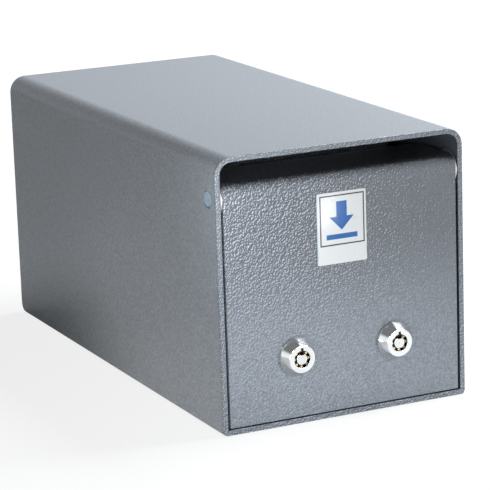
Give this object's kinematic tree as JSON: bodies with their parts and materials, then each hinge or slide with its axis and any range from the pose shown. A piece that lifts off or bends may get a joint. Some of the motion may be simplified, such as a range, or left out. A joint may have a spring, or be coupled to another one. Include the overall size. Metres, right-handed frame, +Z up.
{
  "type": "drop safe",
  "caption": "Small steel drop safe: bent sheet housing, top-hinged door with a hood under the deposit slot, and tubular cam locks that need separate keys.",
  "frame": {"origin": "centre of the housing's bottom face, which is also the centre of the four anchor holes", "axes": "+X to the right as seen from the front, +Y from the door to the back, +Z up"},
  "size_m": [0.15, 0.3088, 0.1524],
  "materials": {
    "hammered_paint": "grey hammered powder coat",
    "zinc_steel": "bright zinc plate",
    "chrome": "polished chrome plate",
    "brass": "plain turned brass",
    "black_steel": "black oxide",
    "spring_steel": "drawn spring wire",
    "plain_steel": "plain ground steel",
    "label": "gloss white face, silver edge"
  },
  "bodies": {
    "housing": {"housing_shell": "hammered_paint", "floor_back_panel": "hammered_paint", "ceiling_baffle": "hammered_paint", "strike_channel": "hammered_paint"},
    "door": {"door_panel": "hammered_paint", "label_plate": "label", "left_hinge_block": "hammered_paint", "left_pivot_pin": "zinc_steel", "left_pivot_washer": "zinc_steel", "left_set_screw": "black_steel", "left_lock_body": "chrome", "left_lock_washer": "zinc_steel", "left_mounting_nut": "zinc_steel", "left_driver_bushing": "brass", "left_retaining_pin": "plain_steel", "left_driver_pins": "brass", "left_driver_springs": "spring_steel", "right_hinge_block": "hammered_paint", "right_pivot_pin": "zinc_steel", "right_pivot_washer": "zinc_steel", "right_set_screw": "black_steel", "right_lock_body": "chrome", "right_lock_washer": "zinc_steel", "right_mounting_nut": "zinc_steel", "right_driver_bushing": "brass", "right_retaining_pin": "plain_steel", "right_driver_pins": "brass", "right_driver_springs": "spring_steel"},
    "left_plug": {"left_lock_plug": "chrome", "left_stop_washer": "zinc_steel", "left_cam": "zinc_steel", "left_cam_washer": "zinc_steel", "left_cam_nut": "zinc_steel"},
    "left_key_pins": {"left_key_pins": "brass"},
    "right_plug": {"right_lock_plug": "chrome", "right_stop_washer": "zinc_steel", "right_cam": "zinc_steel", "right_cam_washer": "zinc_steel", "right_cam_nut": "zinc_steel"},
    "right_key_pins": {"right_key_pins": "brass"}
  },
  "joints": [
    {"name": "door_hinge", "type": "hinge", "parent": "housing", "child": "door", "pos_m": [0, -0.1405, 0.1287], "axis": [-1, 0, 0], "range_deg": [0, 120]},
    {"name": "left_lock_turn", "type": "hinge", "parent": "door", "child": "left_plug", "pos_m": [-0.03, -0.1508, 0.038], "axis": [0, 1, 0], "range_deg": [0, 90]},
    {"name": "left_pin_press", "type": "slide", "parent": "left_plug", "child": "left_key_pins", "axis": [0, 1, 0], "range_m": [0, 0.0018], "stiffness_N_per_m": 300, "springref_m": -0.002},
    {"name": "right_lock_turn", "type": "hinge", "parent": "door", "child": "right_plug", "pos_m": [0.03, -0.1508, 0.038], "axis": [0, 1, 0], "range_deg": [0, 90]},
    {"name": "right_pin_press", "type": "slide", "parent": "right_plug", "child": "right_key_pins", "axis": [0, 1, 0], "range_m": [0, 0.0018], "stiffness_N_per_m": 300, "springref_m": -0.002}
  ]
}
